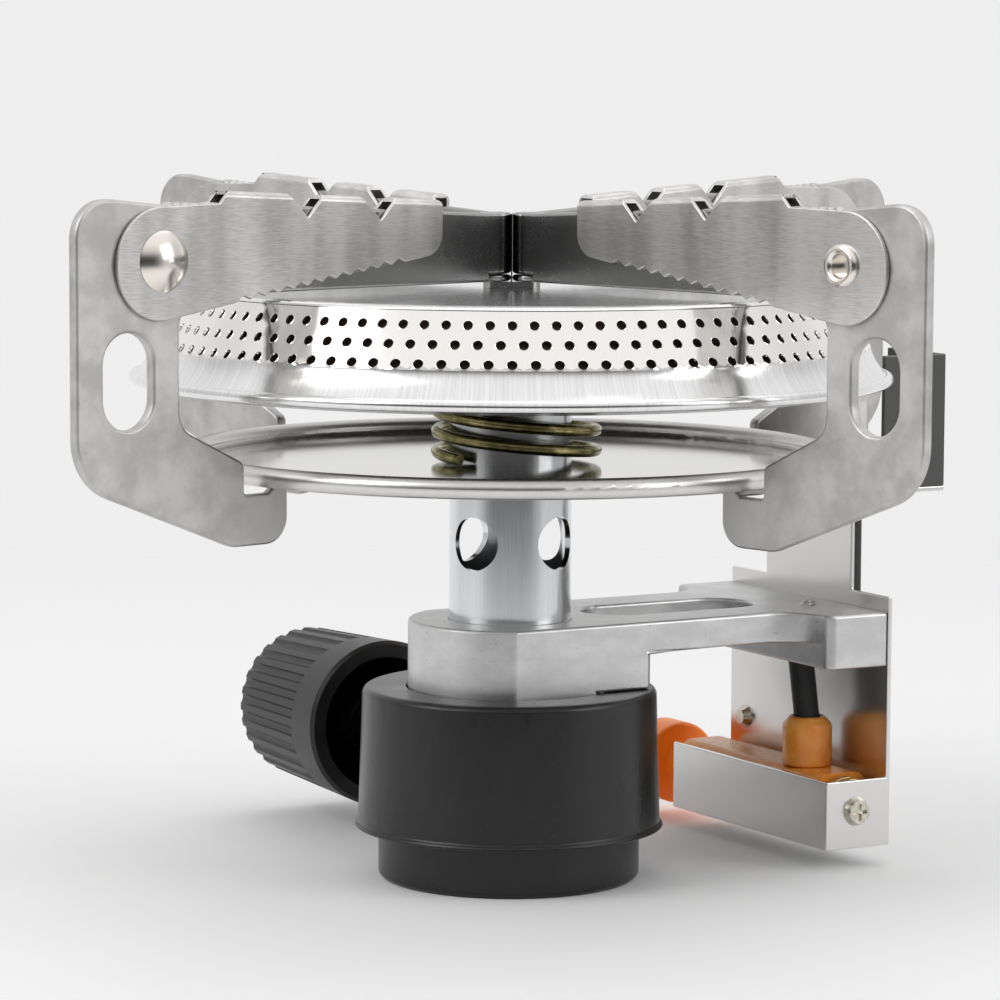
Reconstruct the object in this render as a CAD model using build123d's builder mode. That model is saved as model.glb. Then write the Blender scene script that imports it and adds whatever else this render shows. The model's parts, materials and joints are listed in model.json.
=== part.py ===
from build123d import *
from math import cos, hypot, pi, radians, sin, sqrt
import os

os.makedirs("parts", exist_ok=True)

# A folding camping stove. Millimetres, +Z up, origin under the middle of the skirt.
# The igniter arm runs along +X. The knob and the igniter button face +Y.

# driving sizes, overall
rim_radius = 53.5       # burner rim
rim_gap = 6.5           # from the burner rim to a support leg
leg_width = 17.0        # a leg's upright
view_side = 240.0       # the side that the photo was taken from, in degrees about Z
support_side = view_side - 1.7   # the supports stand a little turned against it
play = 0.05             # running gap between pieces that turn or slide
seat = 0.02             # gap between pieces that only touch

# driving sizes, valve
step_radius, step_height = 18.5, 7.3
skirt_low, skirt_top, skirt_height = 21.4, 20.85, 27.2
skirt_edge, recess = 0.9, 3.0
flash = 0.45
body_radius = 11.9
thread_radius, thread_length, thread_depth, relief = 5.6, 5.8, 8.0, 0.3
seal_radius, seal_wire = 4.2, 0.9
pin_radius = 1.5
spindle_z, spindle_radius = 16.4, 2.35
gland_radius, gland_end = 5.9, 31.0
nut_flat, nut_length = 12.0, 5.0
jet_radius, jet_hole = 3.0, 0.35

# driving sizes, knob
knob_start, knob_length = 36.9, 26.5
knob_big, knob_small, knob_wall = 12.4, 11.4, 2.4
flutes, flute_radius, flute_start = 28, 0.8, 7.0

# driving sizes, die-cast head
head_rise, plate_thick, boss_radius = 9.6, 4.4, 14.4
head_top = skirt_height + head_rise
boss_flat, block_end = 1.4, 15.8
arm_half = boss_radius - boss_flat   # the boss's two flats run on as the sides of the arm
end_inset = 13.0        # the end block stands in from the rim, so that the electrode comes up just outside it
end_start = rim_radius - end_inset
end_thick, end_half, end_deep = 10.2, 20.5, 7.8
end_low = head_top - end_deep
slot_start, slot_end, slot_width = 12.5, end_start - 0.5, 11.0
pip_y, pip_radius = 7.8, 1.1

# driving sizes, tube, tray and spring
tube_radius, tube_wall, tube_low = 8.6, 0.8, skirt_height + 2.8
air_rise, air_hole, air_turn = 11.2, 3.75, 202.5
air_z = head_top + air_rise
tray_rise, tray_sheet, tray_inset, bead = 21.65, 0.6, 6.5, 1.38
tray_floor = head_top + tray_rise
tray_radius = rim_radius - tray_inset
coil_clear = 2.6        # from the tube's wall to the middle of the spring's wire
coil_radius, wire, turns, coil_room = tube_radius + coil_clear, 0.825, 2.25, 8.15
coil_start, coil_lean, coil_aside = 195.0, 1.3, 0.8

# driving sizes, burner: each height stands on the one below it
pan_low, pan_sheet = tray_floor + tray_sheet + coil_room, 0.7
pan_rise, flange_height, flange_in = 3.2, 5.2, 3.2
rim_z = pan_low + pan_rise
ring_height, ring_draw, ring_sheet = 7.4, 4.7, 0.5
ring_low_r, ring_low_z = rim_radius - flange_in, rim_z + flange_height
ring_top_r, ring_top_z = ring_low_r - ring_draw, ring_low_z + ring_height
cap_sheet = 0.6
cap_low = ring_top_z + seat
cap_top = cap_low + cap_sheet

# driving sizes, supports
leg_sheet, arm_sheet, arm_play = 1.8, 0.6, 0.08
hinge_pin, knuckle, knuckle_gap, knuckle_proud = 0.8, 2.3, 0.2, 0.15
hinge_offset = knuckle + knuckle_gap / 2
strip_gap, strip_deep, top_rise = 0.78, 9.6, 3.4
strip_low = cap_top + strip_gap
strip_top = strip_low + strip_deep
top_out = strip_top + top_rise
inner_edge = rim_radius + rim_gap
leg_reach = inner_edge + leg_width
rivet_in, rivet_down, rivet_shank = 13.8, 4.8, 1.9
rivet_r, rivet_z = leg_reach - rivet_in, strip_top - rivet_down
leg_angles = {"front_left": -45, "front_right": 45, "back_right": 135, "back_left": 225}

# driving sizes, igniter
sheet = 0.7
box_low, box_top, igniter_z = 3.0, 12.9, 8.4
shoulder_z, shelf_z = head_top + 2.2, head_top + 16.2
strap_low_y, strap_high_y = -10.9, 11.2
lead_y, terminal_y, lead_radius, lead_bend = -5.0, -7.8, 1.85, 3.6
electrode_out, insulator_radius, electrode_radius = 0.9, 2.6, 0.7
electrode_x = rim_radius + electrode_out
guard_start, guard_end, guard_low_y, guard_high_y = electrode_x + 3.5, electrode_x + 14.5, -8.4, 5.6
guard_top = rim_z + 2.1
button_radius, button_length, button_travel = 6.2, 9.0, 5.0
screw_radius, screw_length = 1.2, 5.2


def save(builder, name):
    builder.part.label = name
    export_step(builder.part, f"parts/{name}.step")


def turned(points, plane=Plane.XZ, axis=Axis.Z, mode=Mode.ADD):
    # a closed outline of (radius, height) points, turned round the axis
    with BuildSketch(plane) as outline:
        with BuildLine():
            Polyline(*points, close=True)
        make_face()
    revolve(outline.sketch, axis=axis, mode=mode)


# the spindle's own plane and axis: sketch x is the radius, sketch y runs along +Y
spindle_plane = Plane(origin=(0, 0, spindle_z), x_dir=(1, 0, 0), z_dir=(0, 0, 1))
spindle_axis = Axis((0, 0, spindle_z), (0, 1, 0))
along_y = Plane(origin=(0, 0, spindle_z), x_dir=(1, 0, 0), z_dir=(0, 1, 0))

# valve skirt: the black moulding, with a step that it stands on
skirt_bore, body_top = body_radius + seat, skirt_height - recess
with BuildPart() as valve_skirt:
    turned([(skirt_bore, 0), (step_radius - 0.6, 0), (step_radius, 0.6), (step_radius, step_height),
            (skirt_low + flash, step_height), (skirt_low + flash, step_height + 0.5),
            (skirt_low, step_height + 0.7), (skirt_top, skirt_height - skirt_edge),
            (skirt_top - 0.3 * skirt_edge, skirt_height - 0.3 * skirt_edge), (skirt_top - skirt_edge, skirt_height),
            (boss_radius + 0.2, skirt_height), (boss_radius + 0.2, body_top), (skirt_bore, body_top)])
    with BuildSketch(along_y):
        Circle(gland_radius + 0.3)
    extrude(amount=skirt_low + 2, mode=Mode.SUBTRACT)
save(valve_skirt, "valve_skirt")

# valve body: inlet thread with a relief below, jet seat above, gland bore to the side
seal_top = thread_depth + 2 * seal_wire + 0.1
spigot_radius, spigot_top = 6.4, skirt_height + 3.8
with BuildPart() as valve_body:
    turned([(0, 0), (body_radius, 0), (body_radius, body_top), (spigot_radius, body_top),
            (spigot_radius, spigot_top), (0, spigot_top)])
    turned([(0, 0), (thread_radius, 0), (thread_radius, thread_length), (thread_radius + relief, thread_length),
            (thread_radius + relief, thread_depth), (seal_radius + seal_wire, thread_depth),
            (seal_radius + seal_wire, seal_top), (pin_radius, seal_top), (pin_radius, seal_top + 3),
            (0.8, seal_top + 3), (0.8, spindle_z), (0, spindle_z)], mode=Mode.SUBTRACT)
    with BuildSketch(along_y.offset(-2)):
        Circle(spindle_radius - 0.9)
    extrude(amount=body_radius, mode=Mode.SUBTRACT)
    with BuildSketch(along_y.offset(5)):
        Circle(gland_radius)
    extrude(amount=body_radius, mode=Mode.SUBTRACT)
    with BuildSketch(Plane.XY.offset(spindle_z)):
        with Locations((0, 1.8)):
            Circle(0.8)
    extrude(amount=spigot_top, mode=Mode.SUBTRACT)
    with BuildSketch(Plane.XY.offset(spigot_top - 4)):
        Circle(jet_radius)
    extrude(amount=5, mode=Mode.SUBTRACT)
save(valve_body, "valve_body")

# inlet seal: the ring above the inlet thread
with BuildPart() as inlet_seal:
    with BuildSketch(Plane.XZ):
        with Locations((seal_radius - seat, thread_depth + seal_wire)):
            Circle(seal_wire - seat)
    revolve(axis=Axis.Z)
save(inlet_seal, "inlet_seal")

# opening pin: the hollow pin above the thread that lets the gas in
pin_tip = thread_length + 0.3
with BuildPart() as opening_pin:
    turned([(0.6, pin_tip), (1.1, pin_tip), (pin_radius, pin_tip + 0.5), (pin_radius, seal_top + 3),
            (0.6, seal_top + 3)])
save(opening_pin, "opening_pin")

# gas jet: sits in the valve body's spigot, under the mixing tube
with BuildPart() as gas_jet:
    turned([(1.6, spigot_top - 4), (jet_radius, spigot_top - 4), (jet_radius, spigot_top), (2.4, spigot_top + 4),
            (jet_hole, spigot_top + 4), (jet_hole, spigot_top + 2.8), (1.6, spigot_top + 1.5)])
    with BuildSketch(Plane.XY.offset(spigot_top + 0.1)):
        RegularPolygon(radius=4.6, side_count=6)
        Circle(2.2, mode=Mode.SUBTRACT)
    extrude(amount=2)
save(gas_jet, "gas_jet")

# gland housing: carries the spindle out through the skirt
with BuildPart() as gland_housing:
    turned([(spindle_radius + play, 5), (gland_radius, 5), (gland_radius, gland_end), (4.6, gland_end),
            (4.6, gland_end - 5), (spindle_radius + play, gland_end - 5)], spindle_plane, spindle_axis)
save(gland_housing, "gland_housing")

# spindle seal: the ring in the gland
with BuildPart() as spindle_seal:
    with BuildSketch(spindle_plane):
        with Locations(((spindle_radius + 4.6) / 2, gland_end - 3.8)):
            Circle((4.6 - spindle_radius) / 2 - play)
    revolve(axis=spindle_axis)
save(spindle_seal, "spindle_seal")

# packing nut: presses the seal and closes the gland
with BuildPart() as packing_nut:
    turned([(spindle_radius + play, gland_end - 2.5), (4.5, gland_end - 2.5), (4.5, gland_end + 1),
            (spindle_radius + play, gland_end + 1)], spindle_plane, spindle_axis)
    with BuildSketch(along_y.offset(gland_end + seat)):
        RegularPolygon(radius=nut_flat / 2, side_count=6, major_radius=False)
        Circle(spindle_radius + play, mode=Mode.SUBTRACT)
    extrude(amount=nut_length)
save(packing_nut, "packing_nut")

# spindle: needle at its inner end, knob on its outer end
knob_end = knob_start + knob_length
spindle_end = knob_end - 5
with BuildPart() as valve_spindle:
    turned([(0, 3.4), (0.5, 3.4), (spindle_radius, 7.5), (spindle_radius, spindle_end), (0, spindle_end)],
           spindle_plane, spindle_axis)
save(valve_spindle, "valve_spindle")

# control knob: hollow on its inner side, fluted over its outer three quarters
hub_start, hub_radius = knob_start + 2.5, 4.6
with BuildPart() as control_knob:
    turned([(hub_radius, hub_start), (hub_radius, knob_end - 4), (knob_small - knob_wall, knob_end - 4),
            (knob_big - knob_wall, knob_start), (knob_big - 0.5, knob_start), (knob_big, knob_start + 0.5),
            (knob_small, knob_end - 1.2), (knob_small - 1.2, knob_end), (0, knob_end), (0, spindle_end),
            (spindle_radius, spindle_end), (spindle_radius, hub_start)], spindle_plane, spindle_axis)
    taper = (knob_big - knob_small) / knob_length
    for k in range(flutes):
        a = 2 * pi * (k + 0.5) / flutes
        start, end = knob_start + flute_start, knob_end + 1
        lift = 0.2
        low, high = knob_big - taper * flute_start + lift, knob_small - taper + lift
        foot = Vector(low * cos(a), start, spindle_z + low * sin(a))
        tip = Vector(high * cos(a), end, spindle_z + high * sin(a))
        with BuildSketch(Plane(origin=foot, z_dir=tip - foot)):
            Circle(flute_radius)
        extrude(amount=(tip - foot).length, mode=Mode.SUBTRACT)
save(control_knob, "control_knob")

end_x = end_start + end_thick
lead_x = end_start + end_thick / 2
screw_y, screw_z = end_half - 6.5, end_low + 4.0

# lead route: up from the terminal, through the end block, out behind the bracket, up to the insulator
terminal_top, socket, lead_turn, insulator_low = box_top + 7.6, 1.2, end_low + 4.2, shelf_z - 1.0


def lead_route():
    # two straight runs meet at each corner in a quarter bend; the first run leans from the terminal to the block
    foot = Vector(lead_x, terminal_y, terminal_top - socket + seat)
    low = Vector(lead_x, lead_y, lead_turn)
    high = Vector(electrode_x, lead_y, lead_turn)
    lean, out, up = (low - foot).normalized(), Vector(1, 0, 0), Vector(0, 0, 1)
    b = lead_bend
    with BuildLine() as route:
        Line(foot, low - lean * b)
        TangentArc(low - lean * b, low + out * b, tangent=lean)
        Line(low + out * b, high - out * b)
        TangentArc(high - out * b, high + up * b, tangent=out)
        Line(high + up * b, Vector(electrode_x, lead_y, insulator_low - seat))
    return route.wires()[0]


# die-cast head: boss under the tube, flat arm, wide end block
tube_bore = tube_radius + seat
flare = end_half - arm_half - 1.6
with BuildPart() as diecast_head:
    # the boss stands in the skirt's recess, and its front and back are flat
    with BuildSketch(Plane.XY.offset(body_top + seat)):
        Circle(boss_radius)
        Rectangle(2 * boss_radius, 2 * arm_half, mode=Mode.INTERSECT)
    extrude(amount=head_top - body_top - seat)
    with BuildSketch(Plane.XY.offset(skirt_height + seat)):
        with Locations((block_end / 2, 0)):
            RectangleRounded(block_end, 2 * arm_half, 1.2)
    extrude(amount=head_top - skirt_height - seat)
    with BuildSketch(Plane.XY.offset(head_top - plate_thick)):
        with BuildLine():
            Line((0, -arm_half), (end_start - flare, -arm_half))
            RadiusArc((end_start - flare, -arm_half), (end_start, -arm_half - flare), flare)
            Line((end_start, -arm_half - flare), (end_start, arm_half + flare))
            RadiusArc((end_start, arm_half + flare), (end_start - flare, arm_half), flare)
            Polyline((end_start - flare, arm_half), (0, arm_half), (0, -arm_half))
        make_face()
    extrude(amount=plate_thick)
    with BuildSketch(Plane.XY.offset(end_low)):
        with Locations((lead_x, 0)):
            Rectangle(end_thick, 2 * end_half)
        fillet(vertices().group_by(Axis.X)[0], 1.5)
    extrude(amount=head_top - end_low)
    with BuildSketch(Plane.XY.offset(head_top - plate_thick - 1)):
        with Locations(((slot_start + slot_end) / 2, 0)):
            SlotOverall(slot_end - slot_start, slot_width)
    extrude(amount=plate_thick + 2, mode=Mode.SUBTRACT)
    # the bore steps in below the tube, so that the tube stands on a ledge
    with BuildSketch(Plane.XY.offset(tube_low)):
        Circle(tube_bore)
    extrude(amount=head_top, mode=Mode.SUBTRACT)
    with BuildSketch(Plane.XY):
        Circle(spigot_radius + seat)
    extrude(amount=head_top, mode=Mode.SUBTRACT)
    with Locations((lead_x, -pip_y, head_top - 0.3)):
        Sphere(pip_radius)
    # way for the lead, and tapped holes for the bracket's screws
    path = lead_route()
    with BuildSketch(Plane(origin=path @ 0, z_dir=path % 0)):
        Circle(lead_radius + 0.3)
    sweep(path=path, mode=Mode.SUBTRACT)
    with BuildSketch(Plane.YZ.offset(end_x)):
        with Locations((-screw_y, screw_z), (screw_y, screw_z)):
            Circle(screw_radius + seat)
    extrude(amount=-screw_length, mode=Mode.SUBTRACT)
save(diecast_head, "diecast_head")

# igniter lead: a sleeved wire, held along its whole way
with BuildPart() as igniter_lead:
    path = lead_route()
    with BuildSketch(Plane(origin=path @ 0, z_dir=path % 0)):
        Circle(lead_radius)
    sweep(path=path)
save(igniter_lead, "igniter_lead")

# mixing tube with four air holes
pan_inner = pan_low + pan_sheet
tube_top = pan_inner + 4
with BuildPart() as mixing_tube:
    with BuildSketch(Plane.XY.offset(tube_low + seat)):
        Circle(tube_radius)
        Circle(tube_radius - tube_wall, mode=Mode.SUBTRACT)
    extrude(amount=tube_top - tube_low)
    for k in range(4):
        a = radians(air_turn + 90 * k)
        with BuildSketch(Plane(origin=(0, 0, air_z), z_dir=(cos(a), sin(a), 0))):
            Circle(air_hole)
        extrude(amount=2 * tube_radius, mode=Mode.SUBTRACT)
save(mixing_tube, "mixing_tube")

# drip tray: slides on the tube, with a rolled rim
bead_r = tray_radius - bead
with BuildPart() as drip_tray:
    turned([(tube_radius + play, tray_floor), (bead_r, tray_floor), (bead_r, tray_floor + tray_sheet),
            (tube_radius + play, tray_floor + tray_sheet)])
    with BuildSketch(Plane.XZ):
        with Locations((bead_r, tray_floor + bead)):
            Circle(bead)
    revolve(axis=Axis.Z)
save(drip_tray, "drip_tray")

# tray spring: one swept wire, quarter turns of two tangent arcs each, rising clockwise.
# It leans on the tube, so that it climbs on the side of the view and lies nearly level behind.
coil_low = tray_floor + tray_sheet + wire + seat
coil_rise = pan_low - wire - seat - coil_low
climb = coil_rise / turns
aside = radians(view_side + 90)
coil_centre = Vector(coil_aside * cos(aside), coil_aside * sin(aside), coil_low)


def coil_point(turn):
    a = radians(coil_start) - 2 * pi * turn
    steep = radians(view_side)
    lean = coil_lean * (sin(steep - a) - sin(steep - radians(coil_start))) / (2 * pi)
    return coil_centre + Vector(coil_radius * cos(a), coil_radius * sin(a), climb * (turn + lean))


def coil_tangent(turn):
    a = radians(coil_start) - 2 * pi * turn
    rise = climb * (1 + coil_lean * cos(radians(view_side) - a))
    return Vector(2 * pi * coil_radius * sin(a), -2 * pi * coil_radius * cos(a), rise).normalized()


quarter_turns = round(4 * turns)
with BuildLine() as coil_line:
    for k in range(quarter_turns):
        p0, p1 = coil_point(k / 4), coil_point((k + 1) / 4)
        t0, t1 = coil_tangent(k / 4), coil_tangent((k + 1) / 4)
        v = p1 - p0
        g, c = v.dot(t0 + t1), 2 * (1 - t0.dot(t1))
        reach = (sqrt(g * g + c * v.dot(v)) - g) / c
        middle = (p0 + p1 + (t0 - t1) * reach) / 2
        TangentArc(p0, middle, tangent=t0)
        TangentArc(middle, p1, tangent=(p1 + t1 * -reach - middle))
coil_path = coil_line.wires()[0]
with BuildPart() as tray_spring:
    with BuildSketch(Plane(origin=coil_path @ 0, z_dir=coil_path % 0)):
        Circle(wire)
    sweep(path=coil_path)
save(tray_spring, "tray_spring")

# the least distance between two turns, measured on points of the swept line
spots = [coil_path @ (k / 360) for k in range(361)]
apart = round(360 / turns / 2)
clear = min((spots[i] - spots[j]).length for i in range(361) for j in range(i + apart, 361)) - 2 * wire
print("spring: least gap between turns", round(clear, 2), "mm")

# burner pan: floor, rolled rim and the brushed flange above it
pan_flat = coil_radius + 4.8
with BuildPart() as burner_pan:
    turned([(tube_radius + seat, pan_low), (pan_flat, pan_low), (rim_radius - 4, rim_z - 0.6), (rim_radius - 0.7, rim_z),
            (rim_radius, rim_z + 0.7), (rim_radius - 0.6, rim_z + 1.6), (ring_low_r + 0.8, ring_low_z - 2.4),
            (ring_low_r + seat, ring_low_z), (ring_low_r - 0.6, ring_low_z), (ring_low_r, ring_low_z - 2.6),
            (rim_radius - 1.6, rim_z + 1.2), (rim_radius - 2.4, rim_z + 0.6), (rim_radius - 4, rim_z + 0.2),
            (pan_flat, pan_inner), (tube_radius + seat, pan_inner)])
save(burner_pan, "burner_pan")

# flame ring: the conical ring that carries the ports
with BuildPart() as flame_ring:
    turned([(ring_low_r - 0.6 - ring_sheet, ring_low_z - 0.8), (ring_low_r - 0.6 - seat, ring_low_z - 0.8),
            (ring_low_r - 0.6 - seat, ring_low_z + seat), (ring_low_r, ring_low_z + seat), (ring_top_r, ring_top_z),
            (ring_top_r - ring_sheet, ring_top_z), (ring_low_r - ring_sheet - 0.6, ring_low_z + seat)])
save(flame_ring, "flame_ring")

# burner cap: nearly flat, turned over the top of the ring
cap_border = 15.6
cap_flat = ring_top_r - cap_border
with BuildPart() as burner_cap:
    turned([(0, cap_low - 0.2), (cap_flat, cap_low - 0.2), (ring_top_r - 2, cap_low), (ring_top_r, cap_low),
            (ring_top_r - 0.3, cap_low + 0.3), (ring_top_r - 1.2, cap_top), (cap_flat, cap_top - 0.2),
            (0, cap_top - 0.2)])
save(burner_cap, "burner_cap")


# supports: every leg has its own plane, sketch x is the distance from the axis, sketch y is the height.
# A leg's inner end is rolled round a hinge pin that lies behind the leg's face.
roll = knuckle - knuckle_proud - leg_sheet / 2


def hinge_place(name):
    a = radians(support_side + (-90 if name.endswith("left") else 90))
    return Vector(hinge_offset * cos(a), hinge_offset * sin(a), 0)


def leg_side(name):
    return 1 if name in ("front_left", "back_right") else -1


def leg_plane(name):
    turn = radians(support_side + leg_angles[name])
    out, across = Vector(cos(turn), sin(turn), 0), Vector(sin(turn), -cos(turn), 0)
    shift = hinge_place(name).dot(across) - leg_side(name) * roll
    return Plane(origin=across * shift, x_dir=out, z_dir=across)


hub_low = cap_top - 0.2 + seat
hub_top = strip_low - 0.1
knuckle_split = strip_low + 1.0
hook_top, hook_low, hook_inner, hook_outer = tray_floor - 0.05, tray_floor - 7.7, tray_radius - 5.5, tray_radius + 3.8
notch_floor, notch_wall, notch_top = tray_floor - 0.85, tray_radius + 2.0, tray_floor + 3.45
heel_z, slope_top = tray_floor + 2.25, rim_z - 3.2
leg_slot_length, leg_slot_width, leg_slot_z = 12.7, 8.2, rim_z + 3.3
leg_tooth, leg_teeth, leg_tooth_deep = 1.5, 5, 0.5
strip_start, strip_end = 5.0, leg_reach - 8.0


def top_edge(r):
    return strip_top + top_rise * max(r - strip_start, 0) / (strip_end - strip_start)


def leg(name):
    plane = leg_plane(name)
    upper = name.startswith("front")
    own_low, own_high = (knuckle_split + play, strip_top) if upper else (strip_low, knuckle_split - play)
    pin_along = hinge_place(name).dot(plane.x_dir)
    cut = pin_along + knuckle + 0.5
    teeth = []
    for k in range(leg_teeth):
        r = inner_edge - 4.5 + leg_tooth * k
        teeth += [(r, top_edge(r)), (r + leg_tooth / 2, top_edge(r) - leg_tooth_deep)]
    inner = [(cut, strip_low), (cut, own_low), (pin_along, own_low), (pin_along, own_high)] if upper else [
        (pin_along, strip_low), (pin_along, own_high), (cut, own_high), (cut, strip_top)]
    # corners of the outline, each with the radius that it is rounded by
    corners = [((leg_reach, top_out), 5.0), ((leg_reach, heel_z), 8.5), ((hook_outer, hook_low), 2.5),
               ((hook_inner, hook_low), 3.6), ((hook_inner, hook_top), 0.5), ((notch_wall, notch_floor), 0.6),
               ((notch_wall, notch_top), 1.2), ((inner_edge, slope_top), 3.5), ((inner_edge, strip_low - 0.5), 4.0)]
    at = [corner for corner, radius in corners]
    with BuildPart() as piece:
        with BuildSketch(plane):
            with BuildLine():
                Polyline(*inner, (strip_start, strip_top), *teeth, (leg_reach - 6.0, top_out), *at[:5],
                         (tray_radius - 3.4, hook_top), (tray_radius - 2.4, notch_floor), *at[5:],
                         (inner_edge - 14.0, strip_low), close=True)
            make_face()
            for corner, radius in corners:
                fillet(vertices().sort_by_distance(corner)[0], radius)
            with Locations(((inner_edge + leg_reach) / 2, leg_slot_z)):
                SlotOverall(leg_slot_length, leg_slot_width, rotation=90, mode=Mode.SUBTRACT)
            with Locations((rivet_r, rivet_z)):
                Circle(rivet_shank + play, mode=Mode.SUBTRACT)
        extrude(amount=leg_sheet / 2, both=True)
        foot = plane.from_local_coords((pin_along, own_low, leg_side(name) * roll))
        with Locations(foot):
            Cylinder(knuckle, own_high - own_low, align=(Align.CENTER, Align.CENTER, Align.MIN))
            Cylinder(hinge_pin + play, own_high - own_low, align=(Align.CENTER, Align.CENTER, Align.MIN),
                     mode=Mode.SUBTRACT)
    save(piece, f"leg_{name}")


# arm outline: the side walls, and the folded top between them
tip_r, lip_r, web_gap, fold = 14.1, rivet_r - 11.0, 1.0, 0.9
tip_web, lip_web = top_edge(tip_r) + web_gap + arm_sheet, top_edge(lip_r) + web_gap + arm_sheet
chin, chin_round = (tip_r, strip_low + 4.4), 3.2
tooth_from, tooth_to = (tip_r + 6.8, strip_low + 3.4), (lip_r - 1.2, strip_low - 1.1)
tooth_count, tooth_deep = 12, 0.7
arm_end = 7.7
notch_deep = 3.1
notches = [tip_r + 11.4, tip_r + 24.4]
arm_outer = leg_sheet / 2 + arm_play + arm_sheet
past = 15.0
arm_low, arm_high, arm_far = strip_low - past, lip_web + past, leg_reach + past


def web_top(r):
    return tip_web + (lip_web - tip_web) * (r - tip_r) / (lip_r - tip_r)


def along_teeth(share):
    return tuple(a + (b - a) * share for a, b in zip(tooth_from, tooth_to))


def support_arm(name):
    plane = leg_plane(name)
    teeth = []
    for k in range(tooth_count):
        valley = along_teeth((k + 0.5) / tooth_count)
        teeth += [along_teeth(k / tooth_count), (valley[0], valley[1] + tooth_deep)]
    inside = arm_outer - arm_sheet
    with BuildPart() as piece:
        with BuildSketch(plane):
            with BuildLine():
                Polyline(chin, *teeth, tooth_to, (rivet_r - 1.2, rivet_z - arm_end + 0.1))
                ThreePointArc((rivet_r - 1.2, rivet_z - arm_end + 0.1), (rivet_r + arm_end, rivet_z),
                              (rivet_r, rivet_z + arm_end - 0.6))
                Polyline((rivet_r, rivet_z + arm_end - 0.6), (lip_r + 1.5, web_top(lip_r) - 1.6),
                         (lip_r, web_top(lip_r)), (tip_r, tip_web), chin)
            make_face()
            fillet(vertices().sort_by_distance((tip_r, tip_web))[0], 0.8)
            fillet(vertices().sort_by_distance(chin)[0], chin_round)
            for r in notches:
                floor = web_top(r) - notch_deep
                up = notch_deep + 1
                with BuildLine(mode=Mode.PRIVATE) as vee:
                    Polyline((r, floor), (r + up, floor + up), (r - up, floor + up), close=True)
                make_face(vee.edges(), mode=Mode.SUBTRACT)
            with Locations((rivet_r, rivet_z)):
                Circle(rivet_shank + play, mode=Mode.SUBTRACT)
        extrude(amount=arm_outer + 1, both=True)
        # a bar along the top gives the arm its width and the round of its two folds
        start = plane.from_local_coords((0, web_top(0), 0))
        along = plane.from_local_coords((arm_far, web_top(arm_far), 0)) - start
        bar_deep = arm_high - arm_low
        with BuildSketch(Plane(origin=start, x_dir=plane.z_dir * -1, z_dir=along)):
            with Locations((0, -bar_deep / 2)):
                Rectangle(2 * arm_outer, bar_deep)
            fillet(vertices().group_by(Axis.Y)[-1], fold)
        extrude(amount=along.length, mode=Mode.INTERSECT)
        # the channel is open below the folded top and at both ends
        with BuildSketch(plane):
            with BuildLine():
                Polyline((0, arm_low), (arm_far, arm_low), (arm_far, arm_high), (lip_r + play, arm_high),
                         (lip_r + play, web_top(lip_r) - arm_sheet), (0, web_top(0) - arm_sheet), close=True)
            make_face()
        extrude(amount=inside, both=True, mode=Mode.SUBTRACT)
    save(piece, f"arm_{name}")


# one rivet, upright: rolled hollow end below, shank, domed head above
face = arm_outer + play
head_radius, head_high, hollow = 4.0, 1.6, 1.0
dome = (head_radius ** 2 + head_high ** 2) / (2 * head_high)
with BuildPart() as upright_rivet:
    with BuildSketch(Plane.XZ):
        with BuildLine():
            Polyline((0, -face + hollow), (1.5, -face + hollow), (1.5, -face - 0.3))
            ThreePointArc((1.5, -face - 0.3), (2.3, -face - 0.75), (2.85, -face))
            Polyline((2.85, -face), (rivet_shank, -face), (rivet_shank, face), (head_radius, face))
            RadiusArc((head_radius, face), (0, face + head_high), -dome)
            Line((0, face + head_high), (0, -face + hollow))
        make_face()
    revolve(axis=Axis.Z)


def arm_rivet(name):
    plane = leg_plane(name)
    centre = plane.from_local_coords((rivet_r, rivet_z, 0))
    with BuildPart() as piece:
        with Locations(Plane(origin=centre, x_dir=plane.x_dir, z_dir=plane.z_dir * -1)):
            add(upright_rivet.part)
    save(piece, f"rivet_{name}")


for where in leg_angles:
    leg(where)
    support_arm(where)
    arm_rivet(where)

# leg hub: a thin bar on the cap that carries the two hinge pins
pin_line = support_side + 90
with BuildPart() as leg_hub:
    with BuildSketch(Plane.XY.offset(hub_low)):
        SlotOverall(2 * hinge_offset + 3.2, 3.2, rotation=pin_line)
    extrude(amount=hub_top - hub_low)
save(leg_hub, "leg_hub")

# hinge pins, one for each side, flush with the knuckles
with BuildPart() as hinge_pins:
    for name in ("front_left", "front_right"):
        pin = hinge_place(name)
        with Locations((pin.X, pin.Y, hub_top)):
            Cylinder(hinge_pin, strip_top - 0.2 - hub_top, align=(Align.CENTER, Align.CENTER, Align.MIN))
save(hinge_pins, "hinge_pins")

# igniter bracket: holder box at the foot, back plate, strap and shelf, in one bent sheet
plate_x = end_x + seat
out_x = plate_x + sheet
dome_y, dome_z = end_half - 4.2, box_top + 3.7
strap_top = hook_low - 1.0   # above this the strap is as narrow as the shelf, clear of the leg's hook


def slab(low, high):
    with Locations(Vector(*low)):
        Box(*(b - a for a, b in zip(low, high)), align=(Align.MIN, Align.MIN, Align.MIN))


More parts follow.
